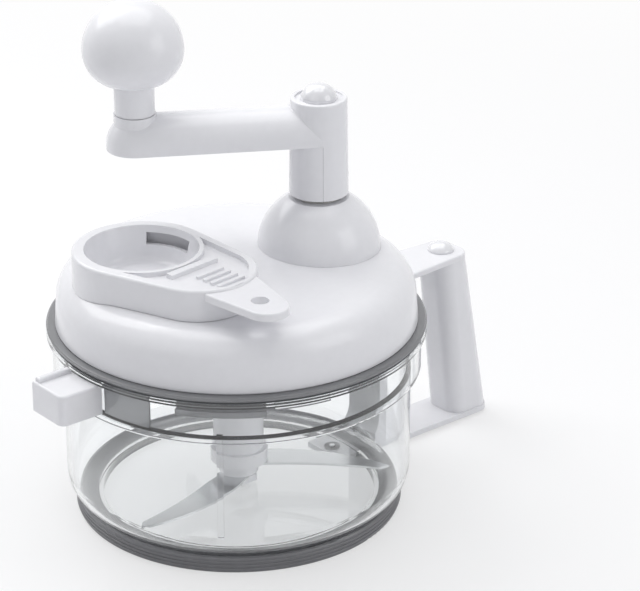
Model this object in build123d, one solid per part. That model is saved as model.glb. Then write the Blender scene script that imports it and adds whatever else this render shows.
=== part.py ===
from build123d import *
from math import acos, atan2, cos, pi, radians, sin, sqrt
import os

# Hand cranked food chopper: a clear bowl with a side handle, a turning lid with a feed hole
# and its separator cup, and a crank that drives three blades through one pair of gears.
# Millimetres. Origin: the bowl's axis on the table. +Z up, the side handle along +X.

# ---------------------------------------------------------------- driving dimensions

# Clearances
RUNNING = 0.05          # radial play of a shaft in its bearing
SEATED = 0.1            # gap round a piece that is seated in another
FACE_GAP = 0.05         # gap between flat faces that turn on each other
FREE = 0.4              # room between pieces that pass each other
CAP_GAP = 0.3           # gap under the separator cup's skirt

# Bowl
BOWL_R = 88.0           # outside radius of the lower wall
BOWL_WALL = 2.4
BOWL_CORNER = 16.0      # outside corner between floor and wall
FLOOR_Z = 5.4           # underside of the floor
COLLAR_Z = 75.0         # underside of the wider collar
COLLAR_STEP = 5.0       # the collar stands out from the wall
FLANGE_Z = 96.0         # underside of the rim flange
FLANGE_STEP = 2.8       # the rim flange stands out from the collar
FLANGE_T = 2.5
FOOT_IN = 15.6          # rib under the floor that carries the base ring, in from the wall
FOOT_Z = 1.2
STUMP_R = 3.8           # centre stump that the blade hub turns on
STUMP_SHOULDER_R = 6.0
STUMP_TOP = 20.0
SHOULDER_T = 1.4
WALL_RIB_ANGLE = -133.7
WALL_RIB_W = 3.0
WALL_RIB_T = 1.5

# Base ring
BASE_IN = 4.7           # in from the bowl's wall
BASE_H = 8.4
BASE_ROUND = 1.0
BASE_GROOVE = 0.5

# Bayonet lock between bowl and lid: three lugs that turn under three ledges
LOCK_COUNT = 3
LUG_START = -147.0      # first lug, angles at the open position
LUG_SWEEP = 28.0
LOCK_PLAY = 2.5         # angle between a lug and the next ledge
LEDGE_SWEEP = 18.0
LEDGE_T = 2.0
LEDGE_IN = 2.5          # how far a ledge reaches in from the collar
LEDGE_DROP = 4.1        # from the rim down to the top of a ledge
LUG_H = 4.0
TAB_START = -174.5
TAB_SWEEP = 17.9        # long tongue of the lock ring

# Rim seal and lock ring
SEAL_T = 0.8
SEAL_IN = 5.8           # width of the seal's flat part
SEAL_LIP_H = 3.0
SEAL_LIP_T = 2.0
LOCK_IN = 0.5           # in from the rim flange
LOCK_ROUND = 0.9
LOCK_T = 2.15
LOCK_SKIRT_T = 1.6
LOCK_SKIRT_H = 4.0
SPIGOT_T = 2.4
SPIGOT_H = 4.5

# Lid
LID_IN = 4.0            # the lid's edge in from the lock ring's
LID_ROUND = 0.8
LID_SIDE_LEAN = 2.0     # the side leans in by this much up to the crown
LID_H = 31.0            # lower edge to the middle of the crown
LID_SAG = 3.7           # fall of the crown from its middle to the shoulder
LID_SHOULDER = 15.0
LID_WALL = 2.4
FEED_R = 26.5           # feed hole
FEED_OFFSET = 49.5
FEED_ANGLE = 163.0
CHUTE_H = 20.0          # feed tube, from the crown down
CHUTE_WALL = 2.2

# Gears
MODULE = 1.5
WHEEL_TEETH = 44
PINION_TEETH = 18
PRESSURE_ANGLE = 20.0
BACKLASH = 0.16
GEAR_W = 8.0
GEAR_Z = 108.0          # underside of both gears
GEAR_HUB_R = 8.0
GEAR_HUB_H = 2.4
WELL_PLAY = 1.0         # gear tips to the wall round them
WELL_WALL = 1.8
PLATE_T = 2.5           # plate that closes the gear case from below
PLATE_GAP = 2.0         # its top to the gears
PLATE_SCREW_R = 1.5
PLATE_SCREW_HEAD_T = 1.6
PLATE_SCREW_BITE = 7.0  # its length in the boss
PLATE_DRILL = 9.0       # depth of the hole in the boss
PLATE_BOSS_R = 3.4

# Crank shaft and its bearing
CRANK_ANGLE = -12.0     # where the crank shaft stands, seen from above
SHAFT_R = 4.0
BUSH_WALL = 3.0
BUSH_FLANGE_R = 11.0
BUSH_FLANGE_T = 1.0
BOSS_WALL = 3.0
CUP_DEPTH = 5.3         # lower bearing of the crank shaft in the gear plate
CUP_WALL = 3.0
DOME_R = 31.3
DOME_CENTRE_Z = 130.2
DOME_TOP = 157.5
DOME_WALL = 2.4
THRUST_R = 12.0
THRUST_T = 1.3

# Crank
CRANK_LENGTH = 91.3     # shaft axis to knob axis
ARM_ANGLE = 149.5       # rest direction of the arm
COLUMN_Z = 160.0
COLUMN_TOP = 210.3
COLUMN_BOTTOM_R = 15.0
COLUMN_TOP_R = 14.2
CRANK_WALL = 2.4
COLUMN_RECESS = 1.0
ARM_R = 14.5            # half round top of the arm
ARM_AXIS_Z = 191.5
ARM_SKIRT = 2.7
COLUMN_ROUND = 0.8
CAP_R = 9.0
CAP_TOP = 217.6
SCREW_R = 2.0
SCREW_HEAD_R = 5.0
SCREW_HEAD_T = 2.6
SCREW_L = 14.0

# Knob
KNOB_R = 25.0
KNOB_CENTRE_Z = 240.0
KNOB_UNDER_Z = 224.7
KNOB_UNDER_R = 16.5
KNOB_WALL = 2.6
NECK_R = 10.0
ARM_BOSS_R = 10.5
ARM_BOSS_TOP = 207.0
NECK_FLANGE_R = 14.0
NECK_FLANGE_T = 1.8
PIN_R = 4.0             # steel pin that the knob turns on
CLIP_T = 1.2
CLIP_DEPTH = 0.6        # groove of the gear's clip
WASHER_R = 7.0

# Blade unit
TUBE_R = 13.0
TUBE_WALL = 2.0
TUBE_CORE_R = 6.0
TUBE_TOP = 101.0
HUB_FLANGE_R = 15.0
HUB_FLANGE_Z = 21.0
HUB_FLANGE_T = 7.5
HUB_R = 10.0
SPINDLE_R = 3.0
SPINDLE_GRIP = 45.0     # how far the steel spindle sits in the blade tube
SPINDLE_TOP = 126.5
BLADE_T = 1.2
BLADE_GAP = 8.6         # blade tip to the bowl's wall
BLADE_ROOT_W = 15.0
BLADE_TIP_W = 5.0
BLADE_SWEEP = 9.0       # how far the edge bows back
LOW_BLADE_Z = 13.2
HIGH_BLADE_Z = 41.0
BLADE_ANGLE = -39.5     # the middle blade at rest
SPINDLE_BUSH_R = 6.5
SPINDLE_FLANGE_R = 9.0
SPINDLE_FLANGE_T = 1.2

# Separator cup that closes the feed hole
CAP_ANGLE = -84.5       # direction of its hanging tab
CAP_RIM_Z = 146.5
CAP_RIM_R = 34.5
CAP_NOSE_R = 28.0
CAP_NOSE_X = 38.0
CAP_NOSE_Y = 4.0
CAP_WALL = 2.2
CAP_ROUND = 1.6
TAB_ROUND = 1.0
CUP_RIM_R = 28.5
CUP_FLOOR_R = 23.3
CUP_FLOOR_Z = 129.0
TAB_ROOT_X = 50.0
TAB_ROOT_R = 18.0
TAB_END_X = 90.0
TAB_END_Y = -1.0
TAB_END_R = 10.5
TAB_TOP_Z = 145.0
TAB_T = 4.0
HANG_R = 4.4
HANG_X = 84.0
SLOT_START = 78.5
SLOT_SWEEP = 55.0
SLOT_Z = 137.0
SLOT_H = 6.0
RECESS_DEPTH = 2.4
RECESS_END_X = 52.0
RECESS_END_R = 13.5
BAR_L = 30.0
BAR_W = 4.0
BAR_H = 2.2
BAR_X = 33.5
BAR_Y = 3.0
FIN_COUNT = 5
FIN_X = 42.5            # near side of the first fin
FIN_Y = 5.5
FIN_PITCH = 4.9
FIN_L = 17.0
FIN_W = 1.8
FIN_H = 1.4

# Side handle
HANDLE_W = 26.0         # width of strap and lower plate
PLATE_BOTTOM_Z = 1.5
HANDLE_PLATE_T = 3.0
STRAP_OUT = 5.5         # finger side of the strap, out from the bowl's wall
COLLAR_STRAP_OUT = 2.7  # and beside the collar, out from the rim flange
TONGUE_L = 15.4         # tongue under the bowl, in from the foot rib
TONGUE_SCREW_IN = 6.0   # its screw, from the tongue's end
TOP_ROOT_W = 34.0
TOP_SCREW_OUT = 39.0    # screw of the top plate, out from the strap
PLATE_ROUND = 1.0
GRIP_GAP = 29.5         # room for the fingers at the top, strap to grip
GRIP_LEAN = 10.8        # the grip's foot stands further out
GRIP_TOP_D = 20.4
GRIP_BOTTOM_D = 26.2
GRIP_W = 24.6
GRIP_CORNER = 8.0
GRIP_WALL = 2.6
HANDLE_CAP_R = 7.0
HANDLE_CAP_H = 5.0
HANDLE_SCREW_R = 1.6
HANDLE_SCREW_HEAD_R = 3.2
HANDLE_SCREW_HEAD_T = 1.6
HANDLE_SCREW_L = 12.0
HANDLE_POST_R = 4.2

# Block on the other side of the bowl
CATCH_REACH = 23.0      # out from the collar
CATCH_W = 24.5
CATCH_Z = 80.0
CATCH_CORNER = 4.0
CATCH_WALL = 2.4
CATCH_RIB_W = 3.5
CATCH_RIB_H = 2.4
CATCH_ROUND = 1.2
CATCH_LUG_W = 14.0
CATCH_LUG_T = 3.0
CATCH_LUG_Z = 85.0
CATCH_SCREW_IN = 12.0   # its screw, in from the block's end

# ---------------------------------------------------------------- worked out sizes

COLLAR_R = BOWL_R + COLLAR_STEP
FLANGE_R = COLLAR_R + FLANGE_STEP
FOOT_R = BOWL_R - FOOT_IN
BASE_R = BOWL_R - BASE_IN
LOCK_R = FLANGE_R - LOCK_IN
LID_EDGE_R = LOCK_R - LID_IN
BLADE_TIP_R = BOWL_R - BOWL_WALL - BLADE_GAP
STRAP_X = BOWL_R + STRAP_OUT
COLLAR_STRAP_X = FLANGE_R + COLLAR_STRAP_OUT
TONGUE_X = FOOT_R - TONGUE_L
TONGUE_SCREW_X = TONGUE_X + TONGUE_SCREW_IN
TOP_SCREW_X = COLLAR_STRAP_X + TOP_SCREW_OUT
GRIP_TOP_X = COLLAR_STRAP_X + GRIP_GAP
GRIP_BOTTOM_X = GRIP_TOP_X + GRIP_LEAN
CATCH_OUT = COLLAR_R + CATCH_REACH
CATCH_SCREW_X = CATCH_OUT - CATCH_SCREW_IN

RIM_Z = FLANGE_Z + FLANGE_T
FLOOR_TOP = FLOOR_Z + BOWL_WALL
COLLAR_IN = COLLAR_R - BOWL_WALL
SEAL_Z = RIM_Z + FACE_GAP
LOCK_Z = SEAL_Z + SEAL_T + FACE_GAP
LID_Z = LOCK_Z + LOCK_T
LID_TOP = LID_Z + LID_H
LEDGE_TOP = RIM_Z - LEDGE_DROP
LUG_TOP = LEDGE_TOP - LEDGE_T - FREE
LOCK_SKIRT_R = COLLAR_IN - LEDGE_IN - FREE
LUG_R = COLLAR_IN - FREE
LEDGE_START = LUG_START + LUG_SWEEP + LOCK_PLAY

CENTRE_DISTANCE = MODULE * (WHEEL_TEETH + PINION_TEETH) / 2
WHEEL_TIP_R = MODULE * (WHEEL_TEETH / 2 + 1)
PINION_TIP_R = MODULE * (PINION_TEETH / 2 + 1)
WELL_WHEEL_R = WHEEL_TIP_R + WELL_PLAY
WELL_PINION_R = PINION_TIP_R + WELL_PLAY
PLATE_TOP = GEAR_Z - PLATE_GAP
PLATE_Z = PLATE_TOP - PLATE_T
GEAR_TOP = GEAR_Z + GEAR_W
HUB_TOP = GEAR_TOP + GEAR_HUB_H
BOSS_Z = HUB_TOP + FREE
BUSH_R = SHAFT_R + RUNNING + BUSH_WALL
DOME_SEAT_Z = DOME_TOP - DOME_WALL
SHAFT_Z = PLATE_TOP - CUP_DEPTH
SHAFT_TOP = COLUMN_TOP - COLUMN_RECESS - CRANK_WALL - 2 * FREE
CRANK_AXIS = Vector(CENTRE_DISTANCE, 0, 0).rotate(Axis.Z, CRANK_ANGLE)
FEED_AXIS = Vector(FEED_OFFSET, 0, 0).rotate(Axis.Z, FEED_ANGLE)

BLADE_Z = HUB_FLANGE_Z - BLADE_T
TUBE_BOTTOM = FLOOR_TOP + SHOULDER_T + FREE
PLATE_UNDER_TOP = FLANGE_Z + HANDLE_PLATE_T
PLATE_UPPER_Z = PLATE_BOTTOM_Z + HANDLE_PLATE_T


# ---------------------------------------------------------------- shared shapes

def outline(points, rounds=()):
    """Flat closed shape through the points; rounds holds (point number, corner radius)."""
    face = make_face(Polyline(*points, close=True))
    for number, radius in rounds:
        corner = face.vertices().sort_by_distance(points[number])[0]
        face = fillet(corner, radius)
    return face


def turned(points, rounds=(), start=0.0, sweep=360.0):
    """Body of revolution about Z from (radius, height) points."""
    face = Plane.XZ * outline(points, rounds)
    return Rot(0, 0, start) * revolve(face, Axis.Z, sweep)


def tube(outer, inner, bottom, top):
    """Plain sleeve on the Z axis."""
    return turned([(inner, bottom), (outer, bottom), (outer, top), (inner, top)])


def disc(radius, bottom, top):
    """Plain cylinder on the Z axis."""
    return Pos(0, 0, bottom) * extrude(Circle(radius), top - bottom)


def block(x0, x1, y0, y1, z0, z1):
    """Box between two corners."""
    return Pos((x0 + x1) / 2, (y0 + y1) / 2, (z0 + z1) / 2) * Box(x1 - x0, y1 - y0, z1 - z0)


def slab(sketch, bottom, top):
    """Flat shape drawn on the floor, raised to stand between two heights."""
    return Pos(0, 0, bottom) * extrude(sketch, top - bottom)


def soft_slab(sketch, bottom, top, radius):
    """Flat shape raised like slab, with its upper edges rounded."""
    solid = slab(sketch, bottom, top)
    return fillet(solid.faces().sort_by(Axis.Z)[-1].edges(), radius)


def screw(shank_r, head_r, head_t, length):
    """Round headed screw: the head's underside at the origin, the shank down."""
    head = outline([(0, 0), (head_r, 0), (head_r, head_t), (0, head_t)], [(2, head_t * 0.6)])
    return revolve(Plane.XZ * head, Axis.Z) + disc(shank_r, -length, 0)


def dome_middle(radius, foot, top):
    """Half way point of the arc, centred on Z, from (radius, foot) up to (0, top)."""
    rise = top - foot
    ball_r = (radius ** 2 + rise ** 2) / (2 * rise)
    half = atan2(radius, ball_r - rise) / 2
    return (ball_r * sin(half), top - ball_r + ball_r * cos(half))


def hull(circles):
    """Flat shape tangent round a list of (x, y, radius) circles."""
    edges = [edge for x, y, r in circles for edge in (Pos(x, y) * Circle(r)).edges()]
    return make_hull(edges)


def involute_gear(teeth, bottom, top, first_tooth):
    """Spur gear with its first tooth at the given angle; flanks are arcs on the involute."""
    pitch_r = MODULE * teeth / 2
    base_r = pitch_r * cos(radians(PRESSURE_ANGLE))
    tip_r = pitch_r + MODULE
    root_r = pitch_r - 1.25 * MODULE
    flank_r = max(base_r, root_r)
    involute = lambda r: sqrt((r / base_r) ** 2 - 1) - acos(base_r / r) if r > base_r else 0.0
    half = (pi * MODULE / 2 - BACKLASH) / 2 / pitch_r + involute(pitch_r)

    def at(r, angle):
        return (r * cos(angle), r * sin(angle))

    edges = []
    for number in range(teeth):
        middle = radians(first_tooth) + 2 * pi * number / teeth
        following = middle + 2 * pi / teeth
        radii = (flank_r, (flank_r + tip_r) / 2, tip_r)
        rising = [at(r, middle - half + involute(r)) for r in radii]
        falling = [at(r, middle + half - involute(r)) for r in reversed(radii)]
        root_in = at(root_r, middle - half + involute(flank_r))
        root_out = at(root_r, middle + half - involute(flank_r))
        if flank_r > root_r:
            edges += [Line(root_in, rising[0]), Line(falling[2], root_out)]
        edges += [ThreePointArc(*rising), Line(rising[2], falling[0]), ThreePointArc(*falling)]
        edges.append(Line(root_out, at(root_r, following - half + involute(flank_r))))
    return slab(make_face(edges), bottom, top)


# ---------------------------------------------------------------- bowl and what is fixed to it

def bowl_outside(grow=0.0):
    """Filled outside shape of the bowl, larger by a margin."""
    low = FLOOR_Z - grow
    wall, collar, flange = BOWL_R + grow, COLLAR_R + grow, FLANGE_R + grow
    points = [(0, low), (wall, low), (wall, COLLAR_Z - grow), (collar, COLLAR_Z - grow),
              (collar, FLANGE_Z - grow), (flange, FLANGE_Z - grow), (flange, RIM_Z + grow),
              (0, RIM_Z + grow)]
    return turned(points, [(1, BOWL_CORNER + grow), (3, 1.5)])


def make_bowl():
    """Clear bowl with its collar, ledges, foot rib, centre stump and fixing bosses."""
    inner = BOWL_R - BOWL_WALL
    shelf = COLLAR_Z + BOWL_WALL
    inside = turned([(0, FLOOR_TOP), (inner, FLOOR_TOP), (inner, shelf), (COLLAR_IN, shelf),
                     (COLLAR_IN, RIM_Z + 1), (0, RIM_Z + 1)], [(1, BOWL_CORNER - BOWL_WALL)])
    bowl = bowl_outside() - inside
    foot = tube(FOOT_R, FOOT_R - BOWL_WALL, FOOT_Z, FLOOR_Z + BOWL_WALL / 2)
    half_slot = HANDLE_W / 2 + FREE
    slot = block(FOOT_R / 2, FOOT_R + 1, -half_slot, half_slot, 0, PLATE_UPPER_Z + FREE)
    bowl += foot - slot
    bowl += disc(HANDLE_POST_R, PLATE_UPPER_Z, FLOOR_Z + 1).moved(Pos(TONGUE_SCREW_X, 0, 0))
    bowl += disc(STUMP_SHOULDER_R, FLOOR_TOP - 1, FLOOR_TOP + SHOULDER_T)
    bowl += turned([(0, FLOOR_TOP), (STUMP_R, FLOOR_TOP), (STUMP_R, STUMP_TOP), (0, STUMP_TOP)],
                   [(2, STUMP_R / 3)])
    rib = block(inner - WALL_RIB_T, inner + 1, -WALL_RIB_W / 2, WALL_RIB_W / 2,
                FLOOR_Z + BOWL_CORNER, shelf)
    bowl += Rot(0, 0, WALL_RIB_ANGLE) * rib
    for number in range(LOCK_COUNT):
        start = LEDGE_START + number * 360 / LOCK_COUNT
        bowl += turned([(COLLAR_IN - LEDGE_IN, LEDGE_TOP - LEDGE_T),
                        (COLLAR_IN + 1, LEDGE_TOP - LEDGE_T),
                        (COLLAR_IN + 1, LEDGE_TOP), (COLLAR_IN - LEDGE_IN, LEDGE_TOP)],
                       start=start, sweep=LEDGE_SWEEP)
    lug_end = CATCH_OUT - CATCH_WALL - CATCH_CORNER
    lug = block(-lug_end, 1 - COLLAR_R, -CATCH_LUG_W / 2, CATCH_LUG_W / 2,
                CATCH_LUG_Z, CATCH_LUG_Z + CATCH_LUG_T)
    lug -= disc(HANDLE_SCREW_R, CATCH_Z, RIM_Z).moved(Pos(-CATCH_SCREW_X, 0, 0))
    bowl += lug
    thread = disc(HANDLE_SCREW_R, PLATE_UPPER_Z - 1, FLOOR_TOP - 1)
    return bowl - thread.moved(Pos(TONGUE_SCREW_X, 0, 0))


def make_base_ring():
    """Dark ring that the bowl stands on, fitted round the foot rib."""
    ring = turned([(FOOT_R + SEATED, 0), (BASE_R, 0), (BASE_R, BASE_H), (FOOT_R + SEATED, BASE_H)],
                  [(1, BASE_ROUND), (2, BASE_ROUND)])
    groove_z = BASE_H / 2
    ring -= turned([(BASE_R - BASE_GROOVE, groove_z), (BASE_R + 1, groove_z - 1 - BASE_GROOVE),
                    (BASE_R + 1, groove_z + 1 + BASE_GROOVE)])
    ring -= bowl_outside(SEATED)
    half_slot = HANDLE_W / 2 + FREE
    return ring - block(FOOT_R / 2, BASE_R + 1, -half_slot, half_slot, -1, PLATE_UPPER_Z + FREE)


def make_handle_strap():
    """Strap up the bowl's wall with the tongue and plates that hold the grip."""
    half = HANDLE_W / 2
    inner_x = BASE_R + FREE
    collar_z = COLLAR_Z - (COLLAR_STRAP_X - STRAP_X)
    side = outline([(TONGUE_X, PLATE_BOTTOM_Z), (STRAP_X, PLATE_BOTTOM_Z), (STRAP_X, collar_z),
                    (COLLAR_STRAP_X, collar_z), (COLLAR_STRAP_X, FLANGE_Z), (inner_x, FLANGE_Z),
                    (inner_x, PLATE_UPPER_Z), (TONGUE_X, PLATE_UPPER_Z)])
    strap = extrude(Plane.XZ * side, half, both=True) - bowl_outside(SEATED)

    def plate(root_x, root_half, end_x, end_half):
        corners = [(root_x, y, 1.0) for y in (1 - root_half, root_half - 1)]
        corners += [(end_x - GRIP_CORNER, y, GRIP_CORNER)
                    for y in (GRIP_CORNER - end_half, end_half - GRIP_CORNER)]
        return hull(corners)
    lower = plate(STRAP_X, half, GRIP_BOTTOM_X + GRIP_BOTTOM_D, half)
    strap += slab(lower, PLATE_BOTTOM_Z, PLATE_UPPER_Z)
    upper = plate(FLANGE_R - TOP_SCREW_OUT / 2, TOP_ROOT_W / 2, GRIP_TOP_X + GRIP_TOP_D, GRIP_W / 2)
    top = soft_slab(upper, FLANGE_Z, PLATE_UNDER_TOP, PLATE_ROUND)
    strap += top - disc(FLANGE_R + CAP_GAP, FLANGE_Z - 1, PLATE_UNDER_TOP + 1)
    grip_screw_x = GRIP_BOTTOM_X + GRIP_BOTTOM_D / 2
    hole = disc(HANDLE_SCREW_R + SEATED, 0, PLATE_UPPER_Z + 1)
    recess = disc(HANDLE_SCREW_HEAD_R + SEATED, 0, PLATE_BOTTOM_Z + HANDLE_SCREW_HEAD_T)
    for x in (grip_screw_x, TONGUE_SCREW_X):
        strap -= (hole + recess).moved(Pos(x, 0, 0))
    top_hole = disc(HANDLE_SCREW_R + SEATED, FLANGE_Z - 1, PLATE_UNDER_TOP + 1)
    return strap - top_hole.moved(Pos(TOP_SCREW_X, 0, 0))


def grip_section(inset, z):
    """Rounded cross section of the grip at a height, smaller by an inset."""
    share = (z - PLATE_UPPER_Z) / (FLANGE_Z - PLATE_UPPER_Z)
    near = GRIP_BOTTOM_X + share * (GRIP_TOP_X - GRIP_BOTTOM_X) + inset
    depth = GRIP_BOTTOM_D + share * (GRIP_TOP_D - GRIP_BOTTOM_D) - 2 * inset
    shape = RectangleRounded(depth, GRIP_W - 2 * inset, max(GRIP_CORNER - inset, 1.0))
    return Pos(near + depth / 2, 0, z) * shape


def make_handle_grip():
    """Hollow grip between the two plates, its foot further out than its top."""
    low, high = PLATE_UPPER_Z, FLANGE_Z
    grip = loft([grip_section(0, low), grip_section(0, high)], ruled=True)
    roof = high - GRIP_WALL
    grip -= loft([grip_section(GRIP_WALL, low), grip_section(GRIP_WALL, roof)], ruled=True)
    bottom_x = GRIP_BOTTOM_X + GRIP_BOTTOM_D / 2
    grip += disc(HANDLE_POST_R, low, low + 2 * HANDLE_SCREW_L).moved(Pos(bottom_x, 0, 0))
    stem = block(bottom_x, GRIP_BOTTOM_X + GRIP_BOTTOM_D, -1, 1, low, low + 2 * HANDLE_SCREW_L)
    post = disc(HANDLE_POST_R, high - HANDLE_SCREW_L, high).moved(Pos(TOP_SCREW_X, 0, 0))
    grip += (post + stem) & loft([grip_section(0, low), grip_section(0, high)], ruled=True)
    drill = disc(HANDLE_SCREW_R, -1, low + HANDLE_SCREW_L).moved(Pos(bottom_x, 0, 0))
    top_drill = disc(HANDLE_SCREW_R, high - HANDLE_SCREW_L + HANDLE_PLATE_T, high + 1)
    drill += top_drill.moved(Pos(TOP_SCREW_X, 0, 0))
    return grip - drill


def make_handle_screws():
    """Three screws: down through the top plate, and up through lower plate and tongue."""
    down = screw(HANDLE_SCREW_R, HANDLE_SCREW_HEAD_R, HANDLE_SCREW_HEAD_T, HANDLE_SCREW_L)
    short = FLOOR_TOP - 1 - PLATE_BOTTOM_Z - HANDLE_SCREW_HEAD_T - SEATED
    tongue = screw(HANDLE_SCREW_R, HANDLE_SCREW_HEAD_R, HANDLE_SCREW_HEAD_T, short)
    seat = PLATE_BOTTOM_Z + HANDLE_SCREW_HEAD_T
    grip_x = GRIP_BOTTOM_X + GRIP_BOTTOM_D / 2
    return [Pos(TOP_SCREW_X, 0, PLATE_UNDER_TOP) * down,
            Pos(grip_x, 0, seat) * Rot(180, 0, 0) * down,
            Pos(TONGUE_SCREW_X, 0, seat) * Rot(180, 0, 0) * tongue]


def domed_cap(radius, height, bore, depth):
    """Button cap with a hollow underneath for a screw head, its rim at the origin."""
    rim = height * 0.2
    face = make_face([Line((0, 0), (radius, 0)), Line((radius, 0), (radius, rim)),
                      ThreePointArc((radius, rim), dome_middle(radius, rim, height), (0, height)),
                      Line((0, height), (0, 0))])
    return revolve(Plane.XZ * face, Axis.Z) - disc(bore, -1, depth)


def make_handle_cap():
    """Button over the handle's top screw."""
    bore = HANDLE_SCREW_HEAD_R + SEATED
    cap = domed_cap(HANDLE_CAP_R, HANDLE_CAP_H, bore, HANDLE_SCREW_HEAD_T + SEATED)
    return Pos(TOP_SCREW_X, 0, PLATE_UNDER_TOP) * cap


def make_front_catch():
    """Hollow block over the bowl's side lug."""
    half = CATCH_W / 2
    near = COLLAR_R - BOWL_WALL
    top = FLANGE_Z - SEATED
    catch = block(-CATCH_OUT, -near, -half, half, CATCH_Z, top)
    corner = catch.edges().filter_by(Axis.Z).sort_by_distance((-CATCH_OUT, -half, CATCH_Z))[0]
    catch = fillet(corner, CATCH_CORNER)
    catch = fillet(catch.faces().sort_by(Axis.Z)[-1].edges().filter_by(
        lambda edge: edge.center().X < -near - 1), CATCH_ROUND)
    rib = block(-CATCH_OUT + CATCH_ROUND, -FLANGE_R - FREE, half - CATCH_ROUND - CATCH_RIB_W,
                half - CATCH_ROUND, top - CATCH_WALL / 2, FLANGE_Z + CATCH_RIB_H)
    catch += fillet(rib.faces().sort_by(Axis.Z)[-1].edges(), CATCH_ROUND)
    hollow = block(-CATCH_OUT + CATCH_WALL, -near + 1, CATCH_WALL - half, half - CATCH_WALL,
                   CATCH_Z - 1, top - CATCH_WALL)
    catch -= hollow
    catch -= bowl_outside(SEATED)
    boss_z = CATCH_LUG_Z + CATCH_LUG_T + SEATED
    catch += disc(HANDLE_POST_R, boss_z, top - 1).moved(Pos(-CATCH_SCREW_X, 0, 0))
    return catch - disc(HANDLE_SCREW_R, CATCH_Z, top - 1).moved(Pos(-CATCH_SCREW_X, 0, 0))


def make_catch_screw():
    """Screw up through the bowl's side lug into the block."""
    length = FLANGE_Z - CATCH_LUG_Z - CATCH_WALL
    short = screw(HANDLE_SCREW_R, HANDLE_SCREW_HEAD_R, HANDLE_SCREW_HEAD_T, length)
    return Pos(-CATCH_SCREW_X, 0, CATCH_LUG_Z) * Rot(180, 0, 0) * short


# ---------------------------------------------------------------- seal and lid

def make_rim_seal():
    """Flat seal on the bowl's rim with a lip down inside the collar."""
    flat_in = LOCK_R - SEAL_IN
    lip_r = COLLAR_IN - CAP_GAP
    flat = tube(LOCK_R - CAP_GAP, lip_r - SEAL_LIP_T, SEAL_Z, SEAL_Z + SEAL_T)
    return flat + tube(lip_r, lip_r - SEAL_LIP_T, SEAL_Z - SEAL_LIP_H, SEAL_Z + SEAL_T) \
        + tube(LOCK_R - CAP_GAP, flat_in, SEAL_Z, SEAL_Z + SEAL_T)


def make_lock_ring():
    """Smoke ring under the lid with the bayonet lugs and one long tongue."""
    spigot_r = lid_inside_r(LID_Z + SPIGOT_H) - SEATED
    skirt_in = LOCK_SKIRT_R - LOCK_SKIRT_T
    ring = turned([(skirt_in, LOCK_Z), (LOCK_R, LOCK_Z), (LOCK_R, LID_Z), (skirt_in, LID_Z)],
                  [(1, LOCK_ROUND / 2), (2, LOCK_ROUND)])
    ring += tube(spigot_r, spigot_r - SPIGOT_T, LOCK_Z, LID_Z + SPIGOT_H)
    ring += tube(LOCK_SKIRT_R, skirt_in, RIM_Z - LOCK_SKIRT_H, LID_Z)
    lug_low = LUG_TOP - LUG_H
    for number in range(LOCK_COUNT):
        start = LUG_START + number * 360 / LOCK_COUNT
        ring += turned([(skirt_in, lug_low), (LOCK_SKIRT_R, lug_low), (LUG_R, lug_low + 1),
                        (LUG_R, LUG_TOP), (LOCK_SKIRT_R, LUG_TOP), (LOCK_SKIRT_R, LID_Z),
                        (skirt_in, LID_Z)], start=start, sweep=LUG_SWEEP)
    tab_low = COLLAR_Z + BOWL_WALL + FREE
    ring += turned([(skirt_in, tab_low), (LOCK_SKIRT_R, tab_low),
                    (LOCK_SKIRT_R, LID_Z), (skirt_in, LID_Z)], start=TAB_START, sweep=TAB_SWEEP)
    return ring - slab(gear_plate_plan(FREE), PLATE_Z - FREE, PLATE_TOP + FREE)


def lid_corner(inset):
    """Where the lid's side line and crown would meet, inset by a wall."""
    return (LID_EDGE_R - LID_SIDE_LEAN - inset, LID_TOP - LID_SAG - inset)


def lid_inside_r(z):
    """Inside radius of the lid's straight side at a height."""
    share = (z - LID_Z) / (LID_H - LID_SAG)
    return LID_EDGE_R - LID_SIDE_LEAN * share - LID_WALL


def lid_outside(inset=0.0, drop=0.0):
    """Filled shape of the lid, smaller by an inset, its open side lowered by a drop."""
    corner = lid_corner(inset)
    crown = LID_TOP - inset
    edge = (LID_EDGE_R - inset, LID_Z)
    middle = dome_middle(corner[0], corner[1], crown)
    low = LID_Z - drop
    edges = [Line((0, low), (edge[0], low)), Line(edge, corner),
             ThreePointArc(corner, middle, (0, crown)), Line((0, crown), (0, low))]
    if drop > 0:
        edges.append(Line((edge[0], low), edge))
    face = make_face(edges)
    shoulder = face.vertices().sort_by_distance(corner)[0]
    face = fillet(shoulder, LID_SHOULDER - inset)
    if drop == 0:
        face = fillet(face.vertices().sort_by_distance(edge)[0], LID_ROUND)
    return revolve(Plane.XZ * face, Axis.Z)


def gear_case(grow):
    """Plan of the gear case: round the wheel and the pinion, wider by a margin."""
    return hull([(CRANK_AXIS.X, CRANK_AXIS.Y, WELL_WHEEL_R + grow), (0, 0, WELL_PINION_R + grow)])


def plate_screw_places():
    """Where the gear plate is screwed to the lid."""
    reach = WELL_WHEEL_R - PLATE_BOSS_R
    places = []
    for angle in (CRANK_ANGLE + 62, CRANK_ANGLE - 62):
        corner = CRANK_AXIS + Vector(reach + PLATE_BOSS_R * 2, 0, 0).rotate(Axis.Z, angle)
        places.append(corner)
    tail = Vector(-(WELL_PINION_R + PLATE_BOSS_R), 0, 0).rotate(Axis.Z, CRANK_ANGLE + 62)
    places.append(tail)
    return places


def gear_plate_plan(grow):
    """Plan of the gear plate with its screw lugs, wider by a margin."""
    plan = gear_case(WELL_WALL + grow)
    for place in plate_screw_places():
        plan += Pos(place.X, place.Y) * Circle(PLATE_BOSS_R + grow)
    return plan


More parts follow.
